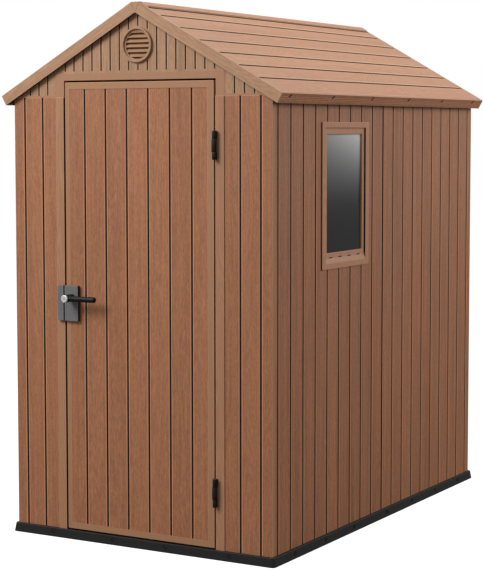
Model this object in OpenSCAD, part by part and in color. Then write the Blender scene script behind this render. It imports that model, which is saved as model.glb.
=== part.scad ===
// Resin garden shed with a gable roof, a single hinged door and one side window.
// Millimetres. X to the right seen from the front, Y to the back, Z up.
// Origin: on the ground, in the middle of the floor.

/* [Walls] */
// Width over the outer faces of the side walls
wall_w = 1160; // [1000:10:1400]
// Depth over the outer faces of the front and back walls
wall_d = 1840; // [1600:20:2400]
// Height of the front and back wall panels above the floor
wall_h = 1685; // [1650:1:1800]
// Thickness of the double-skin wall panels
wall_t = 20; // [12:1:30]

/* [Floor] */
// Height of the floor panels
floor_h = 35; // [30:1:60]
// How far the floor skirt reaches past the walls
floor_lip = 16; // [8:1:24]

/* [Door] */
// Width of the door leaf
door_w = 670; // [600:2:720]
// Height of the door leaf
door_h = 1736; // [1700:1:1780]
// Thickness of the door leaf
door_t = 20; // [16:1:24]
// Gap between the leaf and the doorway
door_gap = 6; // [5:1:8]
// Width of the posts beside the door
post_w = 37; // [30:1:50]
// How far posts and leaf stand proud of the wall panels
post_raise = 4; // [2:1:6]
// How far the stop behind the leaf reaches into the doorway
stop_reach = 15; // [10:1:25]

/* [Roof] */
// Width of the roof from eave to eave
roof_w = 1258; // [1220:2:1300]
// Length of the roof over the barge boards
roof_d = 1876; // [1860:2:1900]
// Slope of the roof in degrees
roof_pitch = 29.3; // [24:0.1:34]
// Height of the outer eave edge
eave_z = 1728; // [1725:1:1760]
// Thickness of the roof panels
roof_t = 20; // [12:1:26]
// Depth of the barge boards and eave trims across the slope
edge_depth = 42; // [35:1:60]
// Thickness of the barge boards and eave trims
edge_t = 10; // [6:1:14]
// Half width of the ridge cap over its flanges
cap_reach = 51; // [40:1:70]
// Half width of the flat top of the ridge cap
cap_flat = 25; // [22:1:32]
// Thickness of the ridge cap
cap_t = 5; // [4:1:8]

/* [Gable vents] */
// Height of the centre of the vents
vent_z = 1913; // [1900:1:1930]
// Outer radius of the vent ring
vent_r = 66; // [50:1:70]
// Face width of the vent ring
vent_rim = 8; // [6:1:12]
// How far the vent ring stands out of the gable
vent_raise = 9; // [5:1:14]
// Distance between neighbouring louvre slats
slat_pitch = 18; // [15:1:24]

/* [Window] */
// Width of the window frame
window_w = 400; // [300:5:420]
// Height of the window frame
window_h = 564; // [400:5:600]
// Distance from the front of the walls to the window's middle
window_from_front = 577; // [400:1:620]
// Height of the window's middle
window_z = 1344; // [1200:1:1370]
// Face width of the frame at the sides
window_side = 29; // [24:1:40]
// Face width of the frame at the top and bottom
window_rail = 22; // [18:1:30]
// How far the frame stands out of the wall
window_raise = 6; // [3:1:10]

/* [Hinges] */
// Radius of the hinge barrels
barrel_r = 9; // [7:0.5:11]
// Length of a hinge barrel
barrel_h = 106; // [90:1:130]
// Radius of the steel hinge pins
hinge_pin_r = 4; // [3:0.5:5]
// Height of the middle of the lower hinge
hinge_low_z = 252; // [200:1:400]
// Height of the middle of the upper hinge
hinge_high_z = 1540; // [1400:1:1600]

/* [Lock] */
// Height of the lock plates
plate_h = 137; // [110:1:160]
// Height of the middle of the lock plates
plate_z = 927; // [880:1:1000]
// Thickness of the lock plates
plate_t = 14; // [10:1:18]
// Width of the lock plate on the door
plate_door_w = 62; // [56:1:75]
// Width of the lock plate on the post
plate_jamb_w = 28; // [20:1:30]
// Height of the lever's spindle
lever_z = 949; // [920:1:980]
// Length of the lever from its spindle axis to its tip
lever_len = 132; // [110:1:150]
// Radius of the lever grip
grip_r = 11; // [9:0.5:13]
// Radius of the lever hub
hub_r = 15; // [13:0.5:17]

/* [Hidden] */
$fn = 48;

board_colour = "#a06e55";
gable_colour = "#b08c70";
trim_colour = "#b9967a";
roof_colour = "#c89e82";
floor_colour = "#2d2d2d";
black_colour = "#1c1c1c";
plate_colour = "#707070";

half_w = wall_w / 2;
half_d = wall_d / 2;
front_y = -half_d;
panel_top = floor_h + wall_h;

door_z0 = floor_h + door_gap;
door_top = door_z0 + door_h;
doorway_half = door_w / 2 + door_gap;
header_gap = 7;
header_z = door_top + header_gap;
leaf_front = front_y - post_raise;
leaf_back = leaf_front + door_t;
stop_y = leaf_back + door_gap;
stop_t = 12;

half_roof = roof_w / 2;
roof_end = roof_d / 2 - edge_t;
fit_gap = 0.2;
key_top = cap_flat - 5;
key_foot = 1;

vent_bore = vent_r - 10;
vent_tube = 4;
slat_t = 2.5;
slat_depth = 20;
slat_y = front_y + 6;
vent_floor = 2;
slat_tilt = 45;
slat_rows = 3;

window_y = front_y + window_from_front;
wall_cut = 16;
sash_t = 8;
sash_face = half_w - 1;
sash_w = 20;
sill_rise = 20;
glass_t = 4;
glass_lap = 10;
glass_half = window_w / 2 - window_side - sash_w;
glass_z0 = window_z - window_h / 2 + window_rail + sill_rise + sash_w;
glass_z1 = window_z + window_h / 2 - window_rail - sash_w - 4;

hinge_x = doorway_half + 3;
hinge_y = leaf_front - barrel_r - 3;
knuckle_gap = 1;
pin_play = 0.05;
knuckle_low = 0.25 * barrel_h;
knuckle_high = 0.71 * barrel_h;
tab_t = 16;

lever_x = -296;
plate_face = leaf_front - plate_t;
plate_gap_x = -336;
plate_gap = 6;
spindle_r = 6;
spindle_len = 12;
hub_len = 48;
hub_play = 0.3;
cap_len = 7;
grip_back = 12;

// Height of the roof's upper surface at a distance x from the middle
function roof_z(x) = eave_z + (half_roof - x) * tan(roof_pitch);

// Height of a plane that lies depth below the roof surface, square to the slope
function under(x, depth) = roof_z(x) - depth / cos(roof_pitch);

// Point of the roof section: run up the slope from the eave, depth square to it
function slope_point(run, depth) = [
    half_roof - run * cos(roof_pitch) - depth * sin(roof_pitch),
    eave_z + run * sin(roof_pitch) - depth * cos(roof_pitch)
];

// Box between two corners
module block(low, high) {
    translate(low)
        cube(high - low);
}

// Extrudes an outline drawn in X and Z from y0 to y1
module along_y(y0, y1) {
    translate([0, y1, 0])
        rotate([90, 0, 0])
            linear_extrude(y1 - y0)
                children();
}

// The same piece on the left or on the right
module side(s) {
    if (s < 0)
        mirror([1, 0, 0]) children();
    else
        children();
}

// The same piece at the front or at the back
module end(e) {
    if (e > 0)
        mirror([0, 1, 0]) children();
    else
        children();
}

// Cylinder along Y from y0 to y1
module rod_y(x, z, r, y0, y1) {
    translate([x, y1, z])
        rotate([90, 0, 0])
            cylinder(r = r, h = y1 - y0);
}

// Quarter of the floor, resting on the ground
module floor_panel(s, e) {
    color(floor_colour)
        side(s) end(e)
            block([0, front_y - floor_lip, 0], [half_w + floor_lip, 0, floor_h]);
}

// Front wall panel between a corner and a door post
module front_wall(s) {
    color(board_colour)
        side(s)
            block([doorway_half + post_w, front_y, floor_h], [half_w, front_y + wall_t, panel_top]);
}

// Back wall panel, half the width of the shed
module back_wall(s) {
    color(board_colour)
        side(s)
            block([0, half_d - wall_t, floor_h], [half_w, half_d, panel_top]);
}

// Post beside the door with the stop that the leaf closes against
module door_post(s) {
    color(trim_colour)
        side(s)
            translate([0, 0, floor_h])
                linear_extrude(wall_h)
                    polygon([
                        [doorway_half + post_w, front_y - post_raise],
                        [doorway_half, front_y - post_raise],
                        [doorway_half, stop_y],
                        [doorway_half - stop_reach, stop_y],
                        [doorway_half - stop_reach, stop_y + stop_t],
                        [doorway_half + post_w, stop_y + stop_t]
                    ]);
}

// Side wall panel, half the depth of the shed, cut to the roof slope at the top
module side_wall(s, e) {
    color(board_colour)
        side(s) end(e)
            along_y(front_y + wall_t, 0)
                polygon([
                    [half_w - wall_t, floor_h],
                    [half_w, floor_h],
                    [half_w, under(half_w, roof_t + fit_gap)],
                    [half_w - wall_t, under(half_w - wall_t, roof_t + fit_gap)]
                ]);
}

// Hole for the window through the right wall
module window_hole() {
    block(
        [half_w - 2 * wall_t, window_y - window_w / 2 + wall_cut, window_z - window_h / 2 + wall_cut],
        [half_w + wall_t, window_y + window_w / 2 - wall_cut, window_z + window_h / 2 - wall_cut]
    );
}

// Side wall panel with the window hole
module window_wall() {
    color(board_colour)
        difference() {
            side_wall(1, -1);
            window_hole();
        }
}

// Gable panel with its vent hole; the front one is notched for the door
module gable(e, notch) {
    color(gable_colour)
        end(e)
            difference() {
                along_y(front_y, front_y + wall_t)
                    polygon([
                        [-half_w, panel_top],
                        [-half_w, under(half_w, roof_t + fit_gap)],
                        [0, under(0, roof_t + fit_gap)],
                        [half_w, under(half_w, roof_t + fit_gap)],
                        [half_w, panel_top]
                    ]);
                if (notch)
                    block(
                        [-doorway_half, front_y - wall_t, panel_top - wall_t],
                        [doorway_half, front_y + 2 * wall_t, header_z]
                    );
                rod_y(0, vent_z, vent_bore, front_y - wall_t, front_y + 2 * wall_t);
            }
}

// Round louvre vent: ring, tube through the gable and slats that shed the rain
module vent(e) {
    inner_r = vent_bore - vent_tube;
    color(gable_colour)
        end(e) {
            difference() {
                union() {
                    rod_y(0, vent_z, vent_r, front_y - vent_raise, front_y);
                    rod_y(0, vent_z, vent_bore - fit_gap, front_y, front_y + wall_t);
                }
                rod_y(0, vent_z, vent_r - vent_rim, front_y - 2 * vent_raise, front_y - vent_floor);
                rod_y(0, vent_z, inner_r, front_y - vent_raise, front_y + 2 * wall_t);
            }
            intersection() {
                rod_y(0, vent_z, inner_r + 1, front_y - vent_raise, front_y + wall_t);
                for (row = [-slat_rows:slat_rows])
                    translate([0, slat_y, vent_z + row * slat_pitch])
                        rotate([slat_tilt, 0, 0])
                            cube([2 * vent_r, slat_depth, slat_t], center = true);
            }
        }
}

// Raised window frame with its sleeve through the wall and a sloping sill
module window_frame() {
    y0 = window_y - window_w / 2;
    y1 = window_y + window_w / 2;
    z0 = window_z - window_h / 2;
    z1 = window_z + window_h / 2;
    face = half_w + window_raise;
    color(trim_colour) {
        difference() {
            union() {
                block([half_w, y0, z0], [face, y1, z1]);
                block(
                    [half_w - wall_t, y0 + wall_cut, z0 + wall_cut],
                    [half_w, y1 - wall_cut, z1 - wall_cut]
                );
            }
            block(
                [half_w - 2 * wall_t, y0 + window_side, z0 + window_rail],
                [face + 1, y1 - window_side, z1 - window_rail]
            );
        }
        translate([0, -sill_rise, 0])
            along_y(y0 + window_side + sill_rise, y1 - window_side + sill_rise)
                polygon([
                    [sash_face, z0 + window_rail],
                    [face, z0 + window_rail],
                    [sash_face, z0 + window_rail + sill_rise]
                ]);
    }
}

// Inner sash that holds the pane, set back in the frame
module window_sash() {
    z0 = window_z - window_h / 2 + window_rail;
    z1 = window_z + window_h / 2 - window_rail;
    reach = window_w / 2 - window_side;
    color(trim_colour)
        difference() {
            block([sash_face - sash_t, window_y - reach, z0], [sash_face, window_y + reach, z1]);
            block(
                [sash_face - 2 * sash_t, window_y - glass_half, glass_z0],
                [sash_face + sash_t, window_y + glass_half, glass_z1]
            );
        }
}

// Window pane behind the sash
module window_pane() {
    back = sash_face - sash_t;
    color(black_colour, 0.6)
        block(
            [back - glass_t, window_y - glass_half - glass_lap, glass_z0 - glass_lap],
            [back, window_y + glass_half + glass_lap, glass_z1 + glass_lap]
        );
}

// Roof panel from the ridge cap down to the eave trim
module roof_panel(s) {
    color(roof_colour)
        side(s)
            along_y(-roof_end, roof_end)
                polygon([
                    [cap_flat, roof_z(cap_flat)],
                    slope_point(edge_t + fit_gap, 0),
                    slope_point(edge_t + fit_gap, roof_t),
                    [cap_flat, under(cap_flat, roof_t)]
                ]);
}

// Eave trim along the lower edge of a roof panel
module eave(s) {
    color(roof_colour)
        side(s)
            along_y(-roof_end, roof_end)
                polygon([
                    slope_point(0, 0),
                    slope_point(0, edge_depth),
                    slope_point(edge_t, edge_depth),
                    slope_point(edge_t, 0)
                ]);
}

// Bent ridge cap over both roof panels
module ridge_cap() {
    color(roof_colour)
        along_y(-roof_end, roof_end)
            polygon([
                [-cap_reach, under(cap_reach, -cap_t)],
                [-cap_flat, under(cap_flat, -cap_t)],
                [cap_flat, under(cap_flat, -cap_t)],
                [cap_reach, under(cap_reach, -cap_t)],
                [cap_reach, under(cap_reach, -fit_gap)],
                [cap_flat, under(cap_flat, -fit_gap)],
                [-cap_flat, under(cap_flat, -fit_gap)],
                [-cap_reach, under(cap_reach, -fit_gap)]
            ]);
}

// Keystone that closes the end of the ridge between two barge boards
module ridge_end(e) {
    color(trim_colour)
        end(e)
            along_y(-roof_d / 2, -roof_end)
                polygon([
                    [-key_top, under(cap_flat, -cap_t)],
                    [key_top, under(cap_flat, -cap_t)],
                    [key_foot, under(key_foot, edge_depth)],
                    [-key_foot, under(key_foot, edge_depth)]
                ]);
}

// Barge board along the sloping front or back edge of the roof
module barge(s, e) {
    color(trim_colour)
        side(s) end(e)
            along_y(-roof_d / 2, -roof_end)
                polygon([
                    slope_point(0, 0),
                    [key_top, roof_z(key_top)],
                    [key_foot, under(key_foot, edge_depth)],
                    slope_point(0, edge_depth)
                ]);
}

// Door leaf with its board face
module door_leaf() {
    color(board_colour)
        block([-door_w / 2, leaf_front, door_z0], [door_w / 2, leaf_back, door_top]);
}

// Knuckle of a hinge between two heights, bored for the pin
module knuckle(z0, z1) {
    difference() {
        translate([hinge_x, hinge_y, z0])
            cylinder(r = barrel_r, h = z1 - z0);
        translate([hinge_x, hinge_y, z0 - 1])
            cylinder(r = hinge_pin_r + pin_play, h = z1 - z0 + 2);
    }
}

// Tab that carries a knuckle on the piece behind it, reaching out by dir
module hinge_tab(z0, z1, dir) {
    difference() {
        block(
            [min(hinge_x, hinge_x + dir * tab_t), hinge_y, z0],
            [max(hinge_x, hinge_x + dir * tab_t), leaf_front, z1]
        );
        translate([hinge_x, hinge_y, z0 - 1])
            cylinder(r = barrel_r - 1, h = z1 - z0 + 2);
    }
}

// Lower and upper knuckle, fixed to the post
module hinge_jamb(mid_z) {
    foot = mid_z - barrel_h / 2;
    color(black_colour) {
        knuckle(foot, foot + knuckle_low);
        hinge_tab(foot, foot + knuckle_low, 1);
        knuckle(foot + knuckle_high, foot + barrel_h);
        hinge_tab(foot + knuckle_high, foot + barrel_h, 1);
    }
}

// Middle knuckle, fixed to the leaf
module hinge_door(mid_z) {
    foot = mid_z - barrel_h / 2 + knuckle_low + knuckle_gap;
    head = mid_z - barrel_h / 2 + knuckle_high - knuckle_gap;
    color(black_colour) {
        knuckle(foot, head);
        hinge_tab(foot, head, -1);
    }
}

// Steel pin through the three knuckles
module hinge_pin(mid_z) {
    color("silver")
        translate([hinge_x, hinge_y, mid_z - barrel_h / 2])
            cylinder(r = hinge_pin_r, h = barrel_h);
}

// Lock plate on the leaf, bored for the lever's spindle
module lock_plate_door() {
    x0 = plate_gap_x + plate_gap / 2;
    color(plate_colour)
        difference() {
            block(
                [x0, plate_face, plate_z - plate_h / 2],
                [x0 + plate_door_w, leaf_front, plate_z + plate_h / 2]
            );
            rod_y(lever_x, lever_z, spindle_r + pin_play, plate_face - 1, leaf_front + 1);
        }
}

// Keeper plate on the post beside the lock
module lock_plate_jamb() {
    x1 = plate_gap_x - plate_gap / 2;
    color(plate_colour)
        block(
            [x1 - plate_jamb_w, plate_face, plate_z - plate_h / 2],
            [x1, leaf_front, plate_z + plate_h / 2]
        );
}

// Lever with its spindle, round hub and straight round grip
module lever() {
    hub_back = plate_face - hub_play;
    grip_y = hub_back - hub_len + grip_back;
    color(black_colour) {
        rod_y(lever_x, lever_z, spindle_r, hub_back - 1, plate_face + spindle_len);
        rod_y(lever_x, lever_z, hub_r, hub_back - hub_len, hub_back);
        translate([lever_x, grip_y, lever_z])
            rotate([0, 90, 0])
                cylinder(r = grip_r, h = lever_len);
    }
}

// Bright cap of the key cylinder on the end of the hub
module lever_cap() {
    hub_front = plate_face - hub_play - hub_len;
    color("silver")
        rod_y(lever_x, lever_z, hub_r - 0.5, hub_front - cap_len, hub_front);
}

floor_panel(-1, -1);  // floor_front_left
floor_panel(1, -1);  // floor_front_right
floor_panel(-1, 1);  // floor_back_left
floor_panel(1, 1);  // floor_back_right
front_wall(-1);  // front_wall_left
front_wall(1);  // front_wall_right
door_post(-1);  // door_post_left
door_post(1);  // door_post_right
window_wall();  // right_wall_front
side_wall(1, 1);  // right_wall_back
side_wall(-1, -1);  // left_wall_front
side_wall(-1, 1);  // left_wall_back
back_wall(-1);  // back_wall_left
back_wall(1);  // back_wall_right
gable(-1, true);  // front_gable
gable(1, false);  // back_gable
vent(-1);  // front_vent
vent(1);  // back_vent
window_frame();
window_sash();
window_pane();
roof_panel(-1);  // roof_left
roof_panel(1);  // roof_right
ridge_cap();
ridge_end(-1);  // ridge_end_front
ridge_end(1);  // ridge_end_back
barge(-1, -1);  // barge_front_left
barge(1, -1);  // barge_front_right
barge(-1, 1);  // barge_back_left
barge(1, 1);  // barge_back_right
eave(-1);  // eave_left
eave(1);  // eave_right
hinge_jamb(hinge_low_z);  // hinge_low_jamb
hinge_pin(hinge_low_z);  // hinge_low_pin
hinge_jamb(hinge_high_z);  // hinge_high_jamb
hinge_pin(hinge_high_z);  // hinge_high_pin
lock_plate_jamb();
door_leaf();
hinge_door(hinge_low_z);  // hinge_low_door
hinge_door(hinge_high_z);  // hinge_high_door
lock_plate_door();
lever();
lever_cap();
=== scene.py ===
"""Finished looks of the resin garden shed, built round its packed construction.

Metres; X to the right seen from the front, Y to the back, Z up.
"""

import math

import bmesh
import bpy
from mathutils import Matrix, Vector


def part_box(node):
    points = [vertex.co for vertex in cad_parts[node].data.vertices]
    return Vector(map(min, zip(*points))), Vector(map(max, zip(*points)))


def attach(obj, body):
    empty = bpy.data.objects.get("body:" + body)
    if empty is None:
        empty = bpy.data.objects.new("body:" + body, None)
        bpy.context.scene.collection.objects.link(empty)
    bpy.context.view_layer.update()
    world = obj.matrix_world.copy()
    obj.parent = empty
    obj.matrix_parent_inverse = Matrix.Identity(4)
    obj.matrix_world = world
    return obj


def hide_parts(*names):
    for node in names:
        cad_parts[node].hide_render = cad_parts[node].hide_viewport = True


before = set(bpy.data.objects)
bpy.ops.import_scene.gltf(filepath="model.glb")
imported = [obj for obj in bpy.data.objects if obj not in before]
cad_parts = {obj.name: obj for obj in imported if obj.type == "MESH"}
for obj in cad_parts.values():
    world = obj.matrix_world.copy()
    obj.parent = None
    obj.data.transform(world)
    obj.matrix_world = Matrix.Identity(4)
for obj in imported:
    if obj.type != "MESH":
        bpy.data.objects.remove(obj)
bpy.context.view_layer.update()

MM = 0.001

# ---------------------------------------------------------------------------
# Floor. Four black polypropylene panels, injection moulded and clipped together on the
# ground. The skirt leans in towards its top, the shed's corners are rounded, and small
# ejector rings from the mould stay visible along the skirt.


def add(tree, kind, sockets=None, **settings):
    """Adds a node to a tree, with its settings and with values or links on its sockets."""
    made = tree.nodes.new(kind)
    for key, value in settings.items():
        setattr(made, key, value)
    for key, value in (sockets or {}).items():
        if isinstance(value, bpy.types.NodeSocket):
            tree.links.new(value, made.inputs[key])
        else:
            made.inputs[key].default_value = value
    return made


def paint(red, green, blue):
    """Linear colour of a paint chip that is given in steps of 1/255."""
    chip = [value / 255 for value in (red, green, blue)]
    return (*[c / 12.92 if c < 0.0405 else ((c + 0.055) / 1.055) ** 2.4 for c in chip], 1)


def calc(tree, operation, first, second, third=0.0):
    """Output of one math node."""
    return add(tree, "ShaderNodeMath", {0: first, 1: second, 2: third}, operation=operation).outputs[0]


def mixed(tree, share, first, second, blend="MIX"):
    """Output of one colour mix node."""
    sockets = {0: share, 6: first, 7: second}
    return add(tree, "ShaderNodeMix", sockets, data_type="RGBA", blend_type=blend).outputs[2]


def noise(tree, place, size, **look):
    """Noise whose blots have the given size in metres along the three axes of place."""
    scaled = add(tree, "ShaderNodeMapping", {"Vector": place, "Scale": [1 / s for s in size]})
    sockets = {"Vector": scaled.outputs[0], "Scale": 1.0, **look}
    return add(tree, "ShaderNodeTexNoise", sockets).outputs["Fac"]


def finish(name):
    """New material; returns it with its node tree, its shader and the place on the piece."""
    made = bpy.data.materials.new(name)
    made.use_nodes = True
    tree = made.node_tree
    place = add(tree, "ShaderNodeTexCoord").outputs["Object"]
    return made, tree, tree.nodes["Principled BSDF"], place


def embossed(tree, shader, height, depth, strength):
    """Gives a shader a bump of the given depth in metres."""
    bump = add(tree, "ShaderNodeBump", {"Height": height, "Distance": depth, "Strength": strength})
    tree.links.new(bump.outputs[0], shader.inputs["Normal"])


# Codes of the "relief" attribute: board face, smooth trim, rounded edge in a pale painted highlight, or
# groove and dark back in painted shade.
FACE, TRIM, EDGE, SHADED = 0.0, 0.25, 0.5, 1.0
NEAR = 0.1


def black_resin(name, face, pale, rough, specks=1.2 * MM):
    """Moulded black resin with a fine spark-eroded grain and pale edges: a painted highlight."""
    made, tree, shader, place = finish(name)
    fine = noise(tree, place, (specks,) * 3, Detail=3.0, Roughness=0.6)
    dull = noise(tree, place, (0.09, 0.09, 0.03), Detail=3.0, Roughness=0.55)
    body = mixed(tree, 1.0, face, calc(tree, "MULTIPLY_ADD", dull, 0.5, 0.75), "MULTIPLY")
    code = add(tree, "ShaderNodeAttribute", attribute_name="relief").outputs["Fac"]
    # Rounded edges get the pale colour, varied by the noise: a painted highlight.
    highlight_strength = calc(tree, "MULTIPLY_ADD", dull, 0.5, 0.3)
    edge_highlight = calc(tree, "MULTIPLY", calc(tree, "COMPARE", code, EDGE, NEAR), highlight_strength)
    tree.links.new(mixed(tree, edge_highlight, body, pale), shader.inputs["Base Color"])
    embossed(tree, shader, fine, 0.3 * MM, 0.6)
    tree.links.new(calc(tree, "MULTIPLY_ADD", dull, 0.2, rough - 0.1), shader.inputs["Roughness"])
    shader.inputs["Specular IOR Level"].default_value = 0.15
    return made


def casting(node, soft=1.5 * MM, tone=FACE, segments=2, reshape=None, longest=0.0):
    """Mesh of a construction piece with its sharp edges rounded; "relief" codes its faces.

    Edges no longer than longest stay sharp.
    """
    shell = bmesh.new()
    shell.from_mesh(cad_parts[node].data)
    bmesh.ops.remove_doubles(shell, verts=shell.verts, dist=0.02 * MM)
    bmesh.ops.dissolve_limit(shell, angle_limit=math.radians(0.8), verts=shell.verts, edges=shell.edges)
    for layer in list(shell.loops.layers.uv.values()):
        shell.loops.layers.uv.remove(layer)
    relief = shell.faces.layers.float.new("relief")
    for face in shell.faces:
        face[relief] = tone
        face.material_index = 0
        face.smooth = False
    if reshape:
        reshape(shell)
    sharp = [e for e in shell.edges if len(e.link_faces) == 2 and e.calc_face_angle(0) > math.radians(25)
             and e.calc_length() > longest]
    made = bmesh.ops.bevel(shell, geom=sharp, offset=soft, segments=segments, profile=0.5,
                           affect="EDGES", clamp_overlap=True)
    # Rounded edges take the edge code, whose pale colour is a painted highlight.
    for face in made["faces"]:
        face[relief] = EDGE
    bmesh.ops.recalc_face_normals(shell, faces=shell.faces)
    mesh = bpy.data.meshes.new(node + "_casting")
    shell.to_mesh(mesh)
    shell.free()
    return mesh


def fit(mesh, name, material, body, slot, *nodes):
    """Puts a finished mesh in the scene as one piece on its body, in place of its construction."""
    made = bpy.data.objects.new(name, mesh)
    bpy.context.scene.collection.objects.link(made)
    mesh.materials.clear()
    mesh.materials.append(material)
    mesh.polygons.foreach_set("material_index", [0] * len(mesh.polygons))
    mesh.name = name
    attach(made, body)
    if nodes:
        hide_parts(*nodes)
    return made


def new_tree(name, sizes):
    """Empty geometry tree with named inputs; returns the tree, its inputs and its end node."""
    tree = bpy.data.node_groups.new(name, "GeometryNodeTree")
    tree.interface.new_socket("Geometry", in_out="INPUT", socket_type="NodeSocketGeometry")
    for label, value in sizes.items():
        kind = {float: "Float", int: "Int", tuple: "Vector", type(None): "Material"}[type(value)]
        socket = tree.interface.new_socket(label, in_out="INPUT", socket_type="NodeSocket" + kind)
        if value is not None:
            socket.default_value = value
    tree.interface.new_socket("Geometry", in_out="OUTPUT", socket_type="NodeSocketGeometry")
    return tree, tree.nodes.new("NodeGroupInput").outputs, tree.nodes.new("NodeGroupOutput").inputs


def real(tree, geometry):
    """Plain geometry out of instances."""
    return add(tree, "GeometryNodeRealizeInstances", {0: geometry}).outputs[0]


def carved(tree, first, second):
    """First mesh with the second one cut out of it."""
    sockets = {"Mesh 1": first, "Mesh 2": second}
    return add(tree, "GeometryNodeMeshBoolean", sockets, operation="DIFFERENCE", solver="EXACT").outputs[0]


def rod(tree, radius, length, sides=96):
    """Upright round rod."""
    sockets = {"Vertices": sides, "Radius": radius, "Depth": length}
    return add(tree, "GeometryNodeMeshCylinder", sockets).outputs[0]


def placed(tree, points, piece, turn):
    """Copies of a piece on points, all turned alike."""
    sockets = {"Points": points, "Instance": piece, "Rotation": turn}
    return add(tree, "GeometryNodeInstanceOnPoints", sockets).outputs[0]


def close(tree, given, end, geometry):
    """Ends a tree in plain geometry with its material."""
    sockets = {"Geometry": real(tree, geometry), "Material": given["Material"]}
    done = add(tree, "GeometryNodeSetMaterial", sockets)
    tree.links.new(done.outputs[0], end[0])


def shaped(mesh, tree, sizes):
    """Plain mesh that a tree makes of another one, with its inputs set by name."""
    holder = bpy.data.objects.new("holder", mesh)
    bpy.context.scene.collection.objects.link(holder)
    step = holder.modifiers.new("shape", "NODES")
    step.node_group = tree
    known = {item.name: item.identifier for item in tree.interface.items_tree if item.in_out == "INPUT"}
    for label, value in sizes.items():
        step[known[label]] = value
    stage = bpy.context.evaluated_depsgraph_get()
    ready = holder.evaluated_get(stage)
    made = bpy.data.meshes.new_from_object(ready, preserve_all_data_layers=True, depsgraph=stage)
    holder.modifiers.remove(step)
    bpy.data.objects.remove(holder)
    return made


UP = (0, 0, 1)
SIDES = {"front": (0, -1, 0), "back": (0, 1, 0), "right": (1, 0, 0), "left": (-1, 0, 0)}
# The mould rings are a darker black than the floor: painted shade, as of a small recess. The pale second
# colours are painted edge highlights.
ring_black = black_resin("ring_black", paint(14, 14, 14), paint(30, 30, 30), 0.6)
floor_black = black_resin("floor_black", paint(33, 33, 34), paint(72, 72, 72), 0.62)
SKIRT_LEAN = 5 * MM
CORNER_ROUND = 14 * MM


def lean_skirt(shell):
    """Leans the skirt's top in and rounds the outer upright corner."""
    reach = [max(abs(v.co[axis]) for v in shell.verts) for axis in (0, 1)]
    top = max(v.co.z for v in shell.verts)
    corner = [e for e in shell.edges
              if all(abs(abs(v.co[axis]) - reach[axis]) < MM for v in e.verts for axis in (0, 1))]
    for v in shell.verts:
        for axis in (0, 1):
            if v.co.z > top - MM and abs(abs(v.co[axis]) - reach[axis]) < MM:
                v.co[axis] -= math.copysign(SKIRT_LEAN, v.co[axis])
    bmesh.ops.bevel(shell, geom=corner, offset=CORNER_ROUND, segments=6, profile=0.5, affect="EDGES")


for end in ("front", "back"):
    for side in ("left", "right"):
        node = f"floor_{end}_{side}"
        mesh = casting(node, 1.5 * MM, reshape=lean_skirt)
        fit(mesh, f"base_{end}_{side}", floor_black, "shed", "floor", node)

ring_tree, given, tree_end = new_tree("ejector_rings", {
    "Outer": 7.5 * MM, "Inner": 5.5 * MM, "Height": 3.0 * MM, "Turn": (0.0, 0.0, 0.0), "Material": None})
ring = carved(ring_tree, rod(ring_tree, given["Outer"], given["Height"], 24),
              rod(ring_tree, given["Inner"], 10 * MM, 24))
close(ring_tree, given, tree_end, placed(ring_tree, given["Geometry"], ring, given["Turn"]))
RING_Z = 21 * MM
END_RINGS = (-0.403, -0.120, 0.120, 0.403)
SIDE_RINGS = (-0.768, -0.521, -0.276, 0.029, 0.276, 0.521, 0.768)
low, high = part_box("floor_front_left")
lean = math.atan2(SKIRT_LEAN, high.z - low.z)
ring_in = SKIRT_LEAN * RING_Z / (high.z - low.z)
for face, out in SIDES.items():
    at_end = face in ("front", "back")
    reach = -low.y if at_end else -low.x
    out = Vector(out)
    along = Vector(UP).cross(out)
    middle = out * (reach - ring_in) + Vector(UP) * RING_Z
    spots = bpy.data.meshes.new("ring_places")
    spots.from_pydata([middle + along * (place * (along.x + along.y))
                       for place in (END_RINGS if at_end else SIDE_RINGS)], [], [])
    tilt = (out + Vector(UP) * math.tan(lean)).to_track_quat("Z", "Y").to_euler()
    made = shaped(spots, ring_tree, {"Turn": tuple(tilt), "Material": ring_black})
    fit(made, f"mould_rings_{face}", ring_black, "shed", "floor")

# ---------------------------------------------------------------------------
# Front and back wall panels. Double-skin brown resin, blow moulded with upright board
# grooves and a pressed wood grain; they slot into the floor and stand on it.


def vector(tree, x=0.0, y=0.0, z=0.0):
    """Output of a node that makes a vector of three values."""
    return add(tree, "ShaderNodeCombineXYZ", {0: x, 1: y, 2: z}).outputs[0]


def split(tree, place):
    """The three values of a vector."""
    return add(tree, "ShaderNodeSeparateXYZ", {0: place}).outputs


def turned(out, run):
    """Rotation whose Z follows run and whose -Y points out of the surface."""
    inward = -Vector(out).normalized()
    along = Vector(run).normalized()
    across = inward.cross(along)
    return Matrix((across, inward, along)).transposed()


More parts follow.
